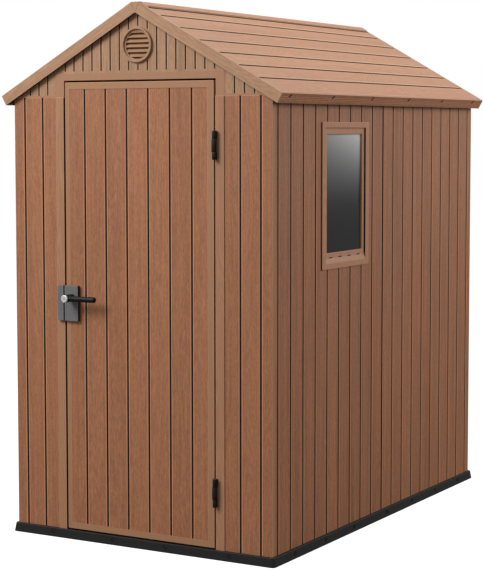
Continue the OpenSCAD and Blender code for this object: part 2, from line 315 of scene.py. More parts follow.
def resin(name, face, vein, edge, groove, trim=None, lie=(SIDES["front"], UP), boards=None,
          streak=0.5, speck=0.5, rough=0.52, relief=1 * MM, grain=(0.011, 0.011, 0.5)):
    """Moulded resin with embossed grain: streaks run along lie; edges get a pale painted highlight, grooves
    dark painted shade.
    """
    made, tree, shader, place = finish(name)
    laid = add(tree, "ShaderNodeMapping", {"Vector": place}, vector_type="TEXTURE")
    laid.inputs["Rotation"].default_value = turned(*lie).to_euler()
    laid = laid.outputs[0]
    figure_place = laid
    code = add(tree, "ShaderNodeAttribute", attribute_name="relief").outputs["Fac"]
    plain = calc(tree, "LESS_THAN", code, NEAR)
    if boards:
        first, pitch = boards
        past = calc(tree, "SUBTRACT", split(tree, laid)[0], first)
        index = calc(tree, "FLOOR", calc(tree, "DIVIDE", past, pitch), 0)
        chance = add(tree, "ShaderNodeTexWhiteNoise", {"W": index}, noise_dimensions="1D").outputs["Value"]
        shift = vector(tree, z=calc(tree, "MULTIPLY", index, 3.7))
        figure_place = add(tree, "ShaderNodeVectorMath", {0: laid, 1: shift}, operation="ADD").outputs[0]
    broad = noise(tree, figure_place, grain, Detail=3.0, Roughness=0.55, Distortion=0.5)
    rings = noise(tree, figure_place, (0.06, 0.06, 0.8), Detail=1.0, Roughness=0.4)
    rings = calc(tree, "SINE", calc(tree, "MULTIPLY", rings, 150.0), 0)
    thin = noise(tree, laid, (0.0028, 0.0028, 0.07), Detail=3.0, Roughness=0.65)
    cloud = noise(tree, laid, (0.16, 0.16, 0.55), Detail=2.0, Roughness=0.5)
    spots = noise(tree, laid, (0.005, 0.005, 0.014), Detail=2.0, Roughness=0.6)
    tone = calc(tree, "MULTIPLY_ADD", broad, streak, 1 - streak / 2 - speck / 2 - 0.08)
    tone = calc(tree, "MULTIPLY_ADD", thin, speck, tone)
    tone = calc(tree, "MULTIPLY_ADD", cloud, 0.16, tone)
    tone = calc(tree, "MULTIPLY_ADD", rings, calc(tree, "MULTIPLY", plain, 0.07), tone)
    contrast = calc(tree, "MULTIPLY_ADD", plain, 0.75, 0.25)
    tone = calc(tree, "MULTIPLY_ADD", calc(tree, "SUBTRACT", tone, 1.0), contrast, 1.0)
    if boards:
        luck = calc(tree, "SUBTRACT", chance, 0.5)
        tone = calc(tree, "MULTIPLY_ADD", luck, calc(tree, "MULTIPLY", plain, 0.1), tone)
    share = calc(tree, "MULTIPLY", calc(tree, "GREATER_THAN", spots, 0.5), 0.5)
    body = mixed(tree, share, face, vein)
    if trim:
        body = mixed(tree, calc(tree, "COMPARE", code, TRIM, NEAR), body, trim)
    # Pale painted highlight on rounded edges and lips; below, dark painted shade on grooves and other shaded
    # faces.
    body = mixed(tree, calc(tree, "COMPARE", code, EDGE, NEAR), body, edge)
    body = mixed(tree, 1.0, body, tone, "MULTIPLY")
    body = mixed(tree, calc(tree, "COMPARE", code, SHADED, NEAR), body, groove)
    tree.links.new(body, shader.inputs["Base Color"])
    height = calc(tree, "MULTIPLY_ADD", thin, 0.5, calc(tree, "MULTIPLY", broad, 0.5))
    height = calc(tree, "MULTIPLY_ADD", rings, calc(tree, "MULTIPLY", plain, 0.15), height)
    embossed(tree, shader, height, relief, 0.7)
    tree.links.new(calc(tree, "MULTIPLY_ADD", thin, 0.2, rough - 0.1), shader.inputs["Roughness"])
    shader.inputs["Specular IOR Level"].default_value = 0.3
    return made


def marks(tone, test):
    """Step for casting that gives a finish code to the faces that pass a test."""
    def mark(shell):
        relief = shell.faces.layers.float["relief"]
        for face in shell.faces:
            face.normal_update()
            if test(face.normal, face.calc_center_median()):
                face[relief] = tone
    return mark


def coded(tree, geometry, tone):
    """The same geometry with a finish code on its faces."""
    sockets = {"Geometry": geometry, "Name": "relief", "Value": tone}
    return add(tree, "GeometryNodeStoreNamedAttribute", sockets, data_type="FLOAT", domain="FACE").outputs[0]


def moved(tree, geometry, place, turn=(0, 0, 0)):
    """The same geometry, turned and then carried to a place."""
    sockets = {"Geometry": geometry, "Translation": place, "Rotation": turn}
    return add(tree, "GeometryNodeTransform", sockets).outputs[0]


LYING = (math.radians(90), 0, 0)


def groove_tree(name, pad=False):
    """Tree that cuts a row of grooves with sloping lips; pad keeps a round place uncut."""
    tree, given, end = new_tree(name, {
        "Count": 1, "Pitch": 0.1, "Length": 1.0, "Lip": 14 * MM, "Floor": 6 * MM,
        "Lip Depth": 2 * MM, "Depth": 4 * MM, "Lip Tone": EDGE, "Floor Tone": SHADED, "Slant": 0.0,
        "Place": (0.0, 0.0, 0.0), "Turn": (0.0, 0.0, 0.0),
        "Pad Radius": 0.07, "Pad Place": (0.0, 0.0, 0.0), "Material": None})
    sockets = {"Count": given["Count"], "Offset": vector(tree, given["Pitch"])}
    line = add(tree, "GeometryNodeMeshLine", sockets, mode="OFFSET").outputs[0]
    twist = vector(tree, y=given["Slant"])
    cut = given["Geometry"]
    spread = calc(tree, "SUBTRACT", given["Lip"], given["Floor"])
    outer = calc(tree, "ADD", given["Lip"], spread)
    # Lips take the edge code, a pale painted highlight; floors take the groove code, dark painted shade.
    for width, depth, tone in ((outer, given["Lip Depth"], given["Lip Tone"]),
                               (given["Floor"], given["Depth"], given["Floor Tone"])):
        size = vector(tree, width, calc(tree, "MULTIPLY", depth, 2.0), given["Length"])
        cutter = add(tree, "GeometryNodeMeshCube", {"Size": size}).outputs[0]
        if width == outer:
            place = split(tree, add(tree, "GeometryNodeInputPosition").outputs[0])
            inward = calc(tree, "MULTIPLY", spread, -1.0)
            shift = calc(tree, "MULTIPLY", calc(tree, "SIGN", place[0], 0), inward)
            sockets = {"Geometry": cutter, "Selection": calc(tree, "GREATER_THAN", place[1], 0.0),
                       "Offset": vector(tree, shift)}
            cutter = add(tree, "GeometryNodeSetPosition", sockets).outputs[0]
        row = real(tree, placed(tree, line, coded(tree, cutter, tone), twist))
        row = moved(tree, row, given["Place"], given["Turn"])
        if pad:
            disc = coded(tree, rod(tree, given["Pad Radius"], 0.2), tone)
            row = carved(tree, row, moved(tree, disc, given["Pad Place"], LYING))
        cut = carved(tree, cut, row)
    close(tree, given, end, cut)
    return tree


plain_grooves = groove_tree("board_grooves")


def grooved(mesh, first, out, run, length, count=1, pitch=0.1, lip=16 * MM, floor=8 * MM,
            lip_depth=2 * MM, depth=5 * MM, tree=plain_grooves, **more):
    """Mesh with a row of grooves: the middle of the first one, the way out and the way they run."""
    sizes = {"Count": count, "Pitch": float(pitch), "Length": float(length), "Lip": float(lip),
             "Floor": float(floor), "Lip Depth": float(lip_depth), "Depth": float(depth),
             "Place": tuple(first), "Turn": tuple(turned(out, run).to_euler())}
    sizes.update({key.replace("_", " ").title(): value for key, value in more.items()})
    return shaped(mesh, tree, sizes)


# The edge colour is a painted highlight and the groove colour painted shade.
BROWN = {"face": paint(170, 115, 81), "vein": paint(148, 97, 73), "edge": paint(204, 146, 110),
         "groove": paint(26, 11, 7), "trim": paint(171, 127, 95)}
FRONT_GROOVES = 0.4447
FRONT_PITCH = 0.0859
INNER = {"lip": 12 * MM, "floor": 5 * MM, "lip_depth": 1.2 * MM, "depth": 2.5 * MM}
# Cutters run past both ends of a piece by half of this.
OVERRUN = 20 * MM
# The outer ends of the front panels, beyond this distance from the middle, are smooth.
PANEL_END = 0.5
pale_end = marks(TRIM, lambda normal, place: abs(normal.x) > 0.9 and abs(place.x) > PANEL_END)
wall_front = resin("wall_front", **BROWN, lie=(SIDES["front"], UP), boards=(FRONT_GROOVES, FRONT_PITCH))
low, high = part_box("front_wall_right")
wall_mid = (low.z + high.z) / 2
wall_run = high.z - low.z + OVERRUN
for side, first in (("left", -FRONT_GROOVES - FRONT_PITCH), ("right", FRONT_GROOVES)):
    node = f"front_wall_{side}"
    mesh = casting(node, reshape=pale_end)
    mesh = grooved(mesh, (first, low.y, wall_mid), SIDES["front"], UP, wall_run, 2, FRONT_PITCH)
    mesh = grooved(mesh, (first + FRONT_PITCH, high.y, wall_mid), SIDES["back"], UP, wall_run, 2,
                   FRONT_PITCH, **INNER)
    fit(mesh, f"front_boards_{side}", wall_front, "shed", "wall_board", node)

BACK_PITCH = 0.0884
BACK_GROOVES = 7
back_span = (BACK_GROOVES - 1) * BACK_PITCH
wall_back = resin("wall_back", **BROWN, lie=(SIDES["back"], UP), boards=(0.0, BACK_PITCH))
low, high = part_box("back_wall_right")
for side, first in (("left", 0.0), ("right", back_span)):
    node = f"back_wall_{side}"
    mesh = casting(node)
    mesh = grooved(mesh, (first, high.y, wall_mid), SIDES["back"], UP, wall_run, BACK_GROOVES, BACK_PITCH)
    mesh = grooved(mesh, (first - back_span, low.y, wall_mid), SIDES["front"], UP, wall_run, BACK_GROOVES,
                   BACK_PITCH, **INNER)
    fit(mesh, f"back_boards_{side}", wall_back, "shed", "wall_board", node)

# ---------------------------------------------------------------------------
# Side wall panels. The same resin boards, two panels to a side, clipped together in the
# middle; the front one on the right has the opening for the window.
SIDE_PITCH = 0.0975
SIDE_GROOVES = 10
for side in ("right", "left"):
    out = SIDES[side]
    wall_side = resin(f"wall_{side}", **BROWN, lie=(out, UP), boards=(0.0, SIDE_PITCH), streak=1.0,
                      speck=0.75, grain=(0.008, 0.008, 0.6))
    for end in ("front", "back"):
        node = f"{side}_wall_{end}"
        low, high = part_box(node)
        reach = high.x if side == "right" else low.x
        mid_z = (low.z + high.z) / 2
        run = high.z - low.z + OVERRUN
        first = 0.0
        if (side == "right") == (end == "front"):
            first = -out[0] * (SIDE_GROOVES - 1) * SIDE_PITCH
        mesh = casting(node)
        mesh = grooved(mesh, (reach, first, mid_z), out, UP, run, SIDE_GROOVES, SIDE_PITCH)
        mesh = grooved(mesh, (reach, 0.0, mid_z), out, UP, run, lip=11.5 * MM, floor=11 * MM, depth=8 * MM)
        fit(mesh, f"side_boards_{side}_{end}", wall_side, "shed", "wall_board", node)

# ---------------------------------------------------------------------------
# Door posts. Smooth tan resin profiles on both sides of the doorway with fine upright
# ribs; the stop that the leaf closes against is moulded on.
# The edge colour is a painted highlight and the groove colour painted shade.
TAN = {"face": paint(176, 129, 97), "vein": paint(170, 124, 93), "edge": paint(204, 152, 118),
       "groove": paint(26, 11, 7)}
RIBS = 4
RIB_PITCH = 8 * MM
RIB_IN = 6 * MM
RIB_CUT = {"lip": 1.6 * MM, "floor": 0.6 * MM, "lip_depth": 0.3 * MM, "depth": 0.35 * MM}
# Upright faces nearer to the middle than this look at the edge of the leaf; they get the groove's dark colour
# as painted shade.
JAMB_SHADE_X = 0.345
shaded_jamb = marks(SHADED, lambda normal, place: abs(normal.x) > 0.9 and abs(place.x) < JAMB_SHADE_X)
post_tan = resin("post_tan", **TAN, lie=(SIDES["front"], UP), streak=0.05, speck=0.04, relief=0.2 * MM)
for side in ("left", "right"):
    node = f"door_post_{side}"
    low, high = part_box(node)
    start = low.x + RIB_IN if side == "left" else high.x - RIB_IN - (RIBS - 1) * RIB_PITCH
    mesh = casting(node, 1.2 * MM, reshape=shaded_jamb)
    mesh = grooved(mesh, (start, low.y, wall_mid), SIDES["front"], UP, wall_run, RIBS, RIB_PITCH,
                   lip_tone=FACE, floor_tone=FACE, **RIB_CUT)
    fit(mesh, f"door_upright_{side}", post_tan, "shed", "trim", node)

# ---------------------------------------------------------------------------
# Gables. Light brown resin panels under the roof with narrow upright boards; a smooth
# frame goes round the doorway at the front, and a round place is left plain for the vent.
# The edge colour is a painted highlight and the groove colour painted shade.
PALE = {"face": paint(174, 134, 102), "vein": paint(164, 124, 96), "edge": paint(200, 158, 124),
        "groove": paint(40, 19, 12), "trim": paint(170, 126, 96)}
GABLE_PITCH = 0.042
GABLE_CUT = {"lip": 12 * MM, "floor": 6 * MM, "lip_depth": 1.5 * MM, "depth": 4 * MM}
PAD_RADIUS = 0.072
SUNK = 1.5 * MM
SUNK_LIP = 1.4 * MM
CORNER_FIELD = 0.480
CORNER_WIDTH = 0.198
BAND_RISE = 8 * MM
pad_grooves = groove_tree("gable_grooves", pad=True)
gable_pale = resin("gable_pale", **PALE, lie=(SIDES["front"], UP), boards=(0.0, GABLE_PITCH))
vent_low, vent_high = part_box("front_vent")
vent_z = (vent_low.z + vent_high.z) / 2
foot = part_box("front_gable")[0].z + 8 * MM
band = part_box("door_leaf")[1].z + 34 * MM
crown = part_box("ridge_cap")[1].z + OVERRUN
# Sunk fields of boards: middle, width, foot, first groove in steps of the pitch, grooves.
FIELDS = {
    "front": ((-CORNER_FIELD, CORNER_WIDTH, foot, -12, 3), (CORNER_FIELD, CORNER_WIDTH, foot, 10, 3),
              (0.0, 0.760, band, -8, 17)),
    "back": ((0.0, 1.2, foot, -12, 25),),
}
for end, fields in FIELDS.items():
    node = f"{end}_gable"
    out = SIDES[end]
    way = -out[1]
    low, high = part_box(node)
    face_y = low.y if end == "front" else high.y
    mesh = casting(node, 1.0 * MM, tone=TRIM, longest=20 * MM)
    for middle, width, bottom, first, count in fields:
        mesh = grooved(mesh, (middle * way, face_y, (bottom + crown) / 2), out, UP, crown - bottom,
                       lip=width + 2 * MM, floor=width, lip_depth=SUNK_LIP, depth=SUNK, floor_tone=FACE)
    for middle, width, bottom, first, count in fields:
        bottom += BAND_RISE if bottom == band else 0
        start = (first * GABLE_PITCH * way, face_y + SUNK * way, (bottom + crown) / 2)
        mesh = grooved(mesh, start, out, UP, crown - bottom, count, GABLE_PITCH, tree=pad_grooves,
                       pad_radius=PAD_RADIUS, pad_place=(0.0, face_y, vent_z), **GABLE_CUT)
    fit(mesh, f"gable_boards_{end}", gable_pale, "shed", "gable_board", node)

# ---------------------------------------------------------------------------
# Gable vents. Round resin louvres pressed into the gables: a raised rounded ring, a
# short tube through the panel and seven sloping slats that shed the rain.


def lathe(profile, centre, axis, steps=96, closed=True):
    """Round mesh about an axis; the profile lists radius and distance along it in millimetres."""
    axis = Vector(axis).normalized()
    side = axis.orthogonal().normalized()
    other = axis.cross(side)
    shell = bmesh.new()
    rings = []
    for step in range(steps):
        angle = 2 * math.pi * step / steps
        arm = side * math.cos(angle) + other * math.sin(angle)
        rings.append([shell.verts.new(Vector(centre) + arm * (r * MM) + axis * (d * MM))
                      for r, d in profile])
    last = len(profile) if closed else len(profile) - 1
    for step in range(steps):
        here, there = rings[step], rings[(step + 1) % steps]
        for k in range(last):
            n = (k + 1) % len(profile)
            shell.faces.new((here[k], here[n], there[n], there[k]))
    bmesh.ops.remove_doubles(shell, verts=shell.verts, dist=0.01 * MM)
    bmesh.ops.dissolve_degenerate(shell, edges=shell.edges, dist=0.005 * MM)
    bmesh.ops.recalc_face_normals(shell, faces=shell.faces)
    for face in shell.faces:
        face.smooth = True
    mesh = bpy.data.meshes.new("lathe")
    shell.to_mesh(mesh)
    shell.free()
    mesh.set_sharp_from_angle(angle=math.radians(35))
    return mesh


def joined(*meshes):
    """One mesh out of several."""
    shell = bmesh.new()
    for mesh in meshes:
        shell.from_mesh(mesh)
    made = bpy.data.meshes.new("joined")
    shell.to_mesh(made)
    shell.free()
    made.set_sharp_from_angle(angle=math.radians(35))
    return made


slat_tree, given, tree_end = new_tree("louvre_slats", {
    "Count": 7, "Pitch": 18 * MM, "Width": 0.14, "Depth": 24 * MM, "Thickness": 2.5 * MM,
    "Tilt": 0.785, "Bore": 53 * MM, "Centre": (0.0, 0.0, 0.0), "Material": None})
spans = calc(slat_tree, "SUBTRACT", given["Count"], 1.0)
lowest = calc(slat_tree, "MULTIPLY", spans, calc(slat_tree, "MULTIPLY", given["Pitch"], -0.5))
sockets = {"Count": given["Count"], "Start Location": vector(slat_tree, z=lowest),
           "Offset": vector(slat_tree, z=given["Pitch"])}
line = add(slat_tree, "GeometryNodeMeshLine", sockets, mode="OFFSET").outputs[0]
size = vector(slat_tree, given["Width"], given["Depth"], given["Thickness"])
slat = add(slat_tree, "GeometryNodeMeshCube", {"Size": size}).outputs[0]
# The slats' front faces take the edge code: the vent's pale edge colour on them is a painted highlight.
facing = split(slat_tree, add(slat_tree, "GeometryNodeInputNormal").outputs[0])[1]
nose = calc(slat_tree, "LESS_THAN", facing, -0.5)
slat = coded(slat_tree, slat, calc(slat_tree, "MULTIPLY", nose, EDGE))
rows = real(slat_tree, placed(slat_tree, line, slat, vector(slat_tree, given["Tilt"])))
rows = moved(slat_tree, rows, given["Centre"])
bore = moved(slat_tree, rod(slat_tree, given["Bore"], 0.1), given["Centre"], LYING)
inside = add(slat_tree, "GeometryNodeMeshBoolean", {"Mesh 2": rows}, operation="INTERSECT", solver="EXACT")
slat_tree.links.new(bore, inside.inputs["Mesh 2"])
both = add(slat_tree, "GeometryNodeJoinGeometry", {0: given["Geometry"]})
slat_tree.links.new(inside.outputs[0], both.inputs[0])
close(slat_tree, given, tree_end, both.outputs[0])

VENT_RING = [(52.2, -19.8), (52.2, 1.6), (57.2, 1.6), (58, 2.4), (58, 6.4), (58.8, 8), (60.4, 9),
             (63.4, 9), (65.2, 8), (66, 6.2), (66, 0.1), (55.6, 0.1), (55.6, -19.8)]
vent_pale = resin("vent_pale", **{**PALE, "trim": None}, lie=(SIDES["front"], SIDES["right"]),
                  streak=0.06, speck=0.05)
for end in ("front", "back"):
    out = SIDES[end]
    way = -out[1]
    low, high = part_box(f"{end}_gable")
    face_y = low.y if end == "front" else high.y
    ring = lathe(VENT_RING, (0, face_y, vent_z), out)
    slats = {"Centre": (0.0, face_y + 6 * MM * way, vent_z), "Tilt": math.radians(45) * way}
    fit(shaped(ring, slat_tree, slats), f"louvre_{end}", vent_pale, "shed", "gable_board", f"{end}_vent")

# ---------------------------------------------------------------------------
# Window. Tan resin frame that clips through the right wall, with a sloping sill, a set
# back sash with drain slots along its foot, and a dark glossy pane behind it.
# The edge colour is a painted highlight and the groove colour painted shade.
WINDOW = {**TAN, "face": paint(190, 138, 106), "vein": paint(184, 132, 102), "edge": paint(210, 158, 126)}
window_tan = resin("window_tan", **WINDOW, lie=(SIDES["right"], UP), streak=0.05, speck=0.05, relief=0.2 * MM)
OPENING_HALF = 0.18
SILL_HIGH = 50 * MM
surround_low, surround_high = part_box("window_frame")
surround_mid = (surround_low + surround_high) / 2


def in_reveal(normal, place):
    """Whether a face is on the inside of the frame or on its side towards the door."""
    inner = abs(place.y - surround_mid.y) < OPENING_HALF and (place - surround_mid).dot(normal) < 0
    above = place.z > surround_low.z + SILL_HIGH
    return abs(normal.x) < 0.1 and (inner or normal.y < -0.9) and above


# Reveal faces take the groove's dark colour: painted shade inside the frame and on its side towards the door.
mesh = casting("window_frame", 1.5 * MM, segments=3, reshape=marks(SHADED, in_reveal))
fit(mesh, "window_surround", window_tan, "shed", "trim", "window_frame")

SLOTS = 4
SLOT_PITCH = 79 * MM
SLOT_FIRST = 52 * MM
SLOT_UP = 21 * MM
low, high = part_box("window_sash")
mesh = casting("window_sash", 1.2 * MM)
mesh = grooved(mesh, (high.x, low.y + SLOT_FIRST, low.z + SLOT_UP), SIDES["right"], UP, 4.5 * MM, SLOTS,
               SLOT_PITCH, lip=29 * MM, floor=28 * MM, lip_depth=0.5 * MM, depth=5 * MM)
fit(mesh, "window_inner_frame", window_tan, "shed", "trim", "window_sash")


def ramp(tree, value, start, stop, top=1.0):
    """Output that rises from 0 to top while a value goes from start to stop."""
    sockets = {"Value": value, "From Min": start, "From Max": stop, "To Max": top}
    return add(tree, "ShaderNodeMapRange", sockets).outputs[0]


# The pane is dark, with a painted reflection of the pale sky in its colour: dark at its foot, paler higher
# up, with a painted highlight along the upper rim.
glass, tree, shader, place = finish("pane_smoke_painted_sky")
low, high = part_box("window_pane")
across, height = split(tree, place)[1:3]
up = ramp(tree, height, low.z + 0.19, high.z - 20 * MM)
over = ramp(tree, across, low.y, high.y)
painted_sky = calc(tree, "MULTIPLY", up, calc(tree, "MULTIPLY_ADD", over, 0.36, 0.7))
painted_sky = calc(tree, "POWER", calc(tree, "MINIMUM", painted_sky, 1.0), 2.1)
cloudy = noise(tree, place, (0.2, 0.2, 0.25), Detail=2.0)
painted_sky = calc(tree, "MULTIPLY", painted_sky, calc(tree, "MULTIPLY_ADD", cloudy, 0.2, 0.9))
painted_rim_highlight = ramp(tree, height, high.z - 22 * MM, high.z - 10 * MM, 0.8)
painted_sky = calc(tree, "MAXIMUM", painted_sky, painted_rim_highlight)
tree.links.new(mixed(tree, painted_sky, paint(66, 66, 67), paint(212, 212, 212)), shader.inputs["Base Color"])
shader.inputs["Specular IOR Level"].default_value = 0.08
tree.links.new(calc(tree, "MULTIPLY_ADD", cloudy, 0.08, 0.08), shader.inputs["Roughness"])
embossed(tree, shader, cloudy, 0.4 * MM, 0.2)
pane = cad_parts["window_pane"]
pane.data.materials.clear()
pane.data.materials.append(glass)

# ---------------------------------------------------------------------------
# Roof. Two pale resin panels with long boards from front to back, a bent cap over the
# ridge, and trims along the eaves with slots that let the rain water out.
# The edge colours are painted highlights and the groove colours painted shade.
CREAM = {"face": paint(194, 141, 105), "vein": paint(180, 128, 95), "edge": paint(220, 176, 142),
         "groove": paint(48, 23, 14)}
EAVE = {**CREAM, "face": paint(180, 125, 92), "vein": paint(168, 115, 85), "groove": paint(14, 11, 10)}
ROOF_PITCH = 0.084
ROOF_FIRST = 0.106
ROOF_GROOVES = 6
CAP_JOINT = 4 * MM
EAVE_THICK = 10 * MM
EAVE_DEEP = 42 * MM
DRAINS = 6
DRAIN_PITCH = 0.3396
DRAIN_FIRST = 0.866
slope = math.radians(29.3)
low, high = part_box("roof_right")
ridge_half = low.x
run_y = high.y - low.y + OVERRUN
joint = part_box("ridge_cap")[1].x + CAP_JOINT
pitch = ROOF_PITCH / math.cos(slope)
# Faces that look down take the groove's dark colour: painted shade under the roof, eaves and barge boards.
shaded_below = marks(SHADED, lambda normal, place: normal.z < -0.7)
for side, way in (("right", 1), ("left", -1)):
    down = Vector((math.cos(slope) * way, 0, -math.sin(slope)))
    out = Vector((math.sin(slope) * way, 0, math.cos(slope)))
    run = Vector((0, way, 0))
    node = f"roof_{side}"
    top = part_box(node)[1].z
    roof_cream = resin(f"roof_{side}_cream", **CREAM, lie=(out, run), streak=0.2, speck=0.2,
                       boards=(ROOF_FIRST / math.cos(slope), pitch), grain=(0.013, 0.013, 0.45))
    mesh = casting(node, 0.8 * MM, reshape=shaded_below)
    start = (ROOF_FIRST * way, 0, top - (ROOF_FIRST - ridge_half) * math.tan(slope))
    mesh = grooved(mesh, start, out, run, run_y, ROOF_GROOVES, pitch, lip=19 * MM, floor=8.5 * MM,
                   lip_depth=2.5 * MM, depth=6 * MM)
    start = (joint * way, 0, top - (joint - ridge_half) * math.tan(slope))
    mesh = grooved(mesh, start, out, run, run_y, lip=11 * MM, floor=10 * MM, lip_depth=1 * MM, depth=5 * MM)
    fit(mesh, f"roof_boards_{side}", roof_cream, "shed", "roof", node)

    node = f"eave_{side}"
    eave_cream = resin(f"eave_{side}_cream", **EAVE, lie=(down, run), streak=0.08, speck=0.08)
    low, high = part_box(node)
    crest = Vector((high.x if way > 0 else low.x, 0, high.z - EAVE_THICK * math.sin(slope)))
    mesh = casting(node, 1.2 * MM, reshape=shaded_below)
    for share in (0.33, 0.5, 0.66):
        mesh = grooved(mesh, crest - out * (EAVE_DEEP * share), down, run, run_y, lip=4 * MM, floor=1.6 * MM,
                       lip_depth=1 * MM, depth=1.6 * MM, lip_tone=FACE, floor_tone=FACE)
    start = crest - out * 12 * MM - run * DRAIN_FIRST
    mesh = grooved(mesh, start, down, out, 17 * MM, DRAINS, DRAIN_PITCH, lip=9.5 * MM, floor=9 * MM,
                   lip_depth=0.5 * MM, depth=8 * MM, slant=math.radians(45) * way)
    fit(mesh, f"eave_strip_{side}", eave_cream, "shed", "roof", node)

cap_cream = resin("cap_cream", **CREAM, lie=(UP, SIDES["back"]), streak=0.1, speck=0.08)
fit(casting("ridge_cap", 1.2 * MM), "ridge_cover", cap_cream, "shed", "roof", "ridge_cap")

# ---------------------------------------------------------------------------
# Barge boards. Tan resin boards that close the ends of the roof, screwed to the panels
# from inside, with a keystone piece between them at the ridge.
# The edge colour is a painted highlight and the groove colour painted shade.
SAND = {"face": paint(178, 137, 106), "vein": paint(166, 127, 99), "edge": paint(200, 162, 130),
        "groove": paint(24, 11, 8)}
for end in ("front", "back"):
    out = SIDES[end]
    for side, way in (("right", 1), ("left", -1)):
        down = (math.cos(slope) * way, 0, -math.sin(slope))
        sand = resin(f"barge_{end}_{side}_sand", **SAND, lie=(out, down), streak=0.45, speck=0.6,
                     grain=(0.006, 0.006, 0.25))
        node = f"barge_{end}_{side}"
        mesh = casting(node, 1.2 * MM, reshape=shaded_below)
        fit(mesh, f"verge_board_{end}_{side}", sand, "shed", "trim", node)
    node = f"ridge_end_{end}"
    sand = resin(f"keystone_{end}_sand", **SAND, lie=(out, UP), streak=0.12, speck=0.1)
    fit(casting(node, 1.0 * MM), f"keystone_{end}", sand, "shed", "trim", node)

# ---------------------------------------------------------------------------
# Door. One double-skin leaf in the walls' brown, with smooth stiles and rails round a
# slightly sunk field of seven boards.
DOOR_GROOVES = 6
DOOR_PITCH = 0.0963
DOOR_FIRST = -0.2436
STILE_LOCK, STILE_HINGE = 22.5 * MM, 28 * MM
RAIL_LOW, RAIL_HIGH = 24 * MM, 26 * MM
door_brown = resin("door_brown", **BROWN, lie=(SIDES["front"], UP), boards=(DOOR_FIRST, DOOR_PITCH))
low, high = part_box("door_leaf")
leaf_mid, leaf_run = (low.z + high.z) / 2, high.z - low.z + OVERRUN
left, right = low.x + STILE_LOCK, high.x - STILE_HINGE
bottom, top = low.z + RAIL_LOW, high.z - RAIL_HIGH
field_mid, field_run = (bottom + top) / 2, top - bottom
mesh = casting("door_leaf", 1.5 * MM, tone=TRIM)
mesh = grooved(mesh, ((left + right) / 2, low.y, field_mid), SIDES["front"], UP, field_run,
               lip=right - left + 3 * MM, floor=right - left, lip_depth=0.9 * SUNK, depth=SUNK,
               floor_tone=FACE)
mesh = grooved(mesh, (DOOR_FIRST, low.y + SUNK, field_mid), SIDES["front"], UP, field_run, DOOR_GROOVES,
               DOOR_PITCH)
mesh = grooved(mesh, (-DOOR_FIRST, high.y, field_mid), SIDES["back"], UP, field_run, DOOR_GROOVES,
               DOOR_PITCH, **INNER)
for rib_x in (low.x + 8 * MM, high.x - 20 * MM):
    mesh = grooved(mesh, (rib_x, low.y, leaf_mid), SIDES["front"], UP, leaf_run, 2, 7 * MM,
                   lip_tone=TRIM, floor_tone=TRIM, **RIB_CUT)
mesh = grooved(mesh, (low.x + 1.1 * MM, low.y, leaf_mid), SIDES["front"], UP, leaf_run,
               lip=2.4 * MM, floor=2.3 * MM, lip_depth=0.3 * MM, depth=3 * MM)
fit(mesh, "door_boards", door_brown, "door", "wall_board", "door_leaf")

# ---------------------------------------------------------------------------
# Hinges. Black glass-filled nylon with round barrels, screwed to the post and the leaf
# from inside; zinc-plated steel pins run through them.


def united(first, second):
    """Union of two closed meshes."""
    a, b = (bpy.data.objects.new(label, mesh) for label, mesh in (("first", first), ("second", second)))
    for o in (a, b):
        bpy.context.scene.collection.objects.link(o)
    step = a.modifiers.new("union", "BOOLEAN")
    step.operation, step.solver, step.object = "UNION", "EXACT", b
    stage = bpy.context.evaluated_depsgraph_get()
    ready = a.evaluated_get(stage)
    made = bpy.data.meshes.new_from_object(ready, preserve_all_data_layers=True, depsgraph=stage)
    a.modifiers.remove(step)
    for o in (a, b):
        bpy.data.objects.remove(o)
    made.set_sharp_from_angle(angle=math.radians(35))
    return made


def bar(low, high, soft):
    """Box with rounded edges between two corners."""
    shell = bmesh.new()
    bmesh.ops.create_cube(shell, size=1)
    for v in shell.verts:
        v.co = Vector([low[k] if v.co[k] < 0 else high[k] for k in range(3)])
    bmesh.ops.bevel(shell, geom=shell.edges[:], offset=soft, segments=2, profile=0.5, affect="EDGES")
    made = bpy.data.meshes.new("bar")
    shell.to_mesh(made)
    shell.free()
    return made


# The pale second colour is a painted edge highlight.
nylon = black_resin("hinge_nylon", paint(26, 26, 27), paint(70, 70, 72), 0.42, 0.8 * MM)
HINGE_BORE = 4.05
BARREL = 8.4
PLAY = 0.4 * MM
JAMB_LOW, JAMB_HIGH = 0.25, 0.71
# Reach of the tabs from the pin's axis, at the jamb and at the leaf.
TAB_REACH = {"jamb": 6 * MM, "door": 13 * MM}
for level in ("low", "high"):
    pin_low, pin_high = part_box(f"hinge_{level}_pin")
    axis_x, axis_y = (pin_low.x + pin_high.x) / 2, (pin_low.y + pin_high.y) / 2
    length = pin_high.z - pin_low.z
    gap_low, gap_high = JAMB_LOW + PLAY / length, JAMB_HIGH - PLAY / length
    for leaf, body, spans, way in (
        ("jamb", "shed", ((0, JAMB_LOW), (JAMB_HIGH, 1)), 1),
        ("door", "door", ((gap_low, gap_high),), -1),
    ):
        node = f"hinge_{level}_{leaf}"
        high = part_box(node)[1]
        parts = []
        for start, stop in spans:
            z0, z1 = pin_low.z + start * length, pin_low.z + stop * length
            h = (z1 - z0) / MM
            profile = [(HINGE_BORE, 0), (BARREL - 0.6, 0), (BARREL - 0.2, 0.2), (BARREL, 0.6),
                       (BARREL, h - 0.6), (BARREL - 0.2, h - 0.2), (BARREL - 0.6, h), (HINGE_BORE, h)]
            knuckle = lathe(profile, (axis_x, axis_y, z0), UP, 48)
            near, far = axis_x + 1 * MM * way, axis_x + TAB_REACH[leaf] * way
            tab = bar((min(near, far), axis_y + 1 * MM, z0), (max(near, far), high.y, z1), 1 * MM)
            parts.append(united(knuckle, tab))
        fit(joined(*parts), f"hinge_leaf_{level}_{leaf}", nylon, body, "black_part", node)

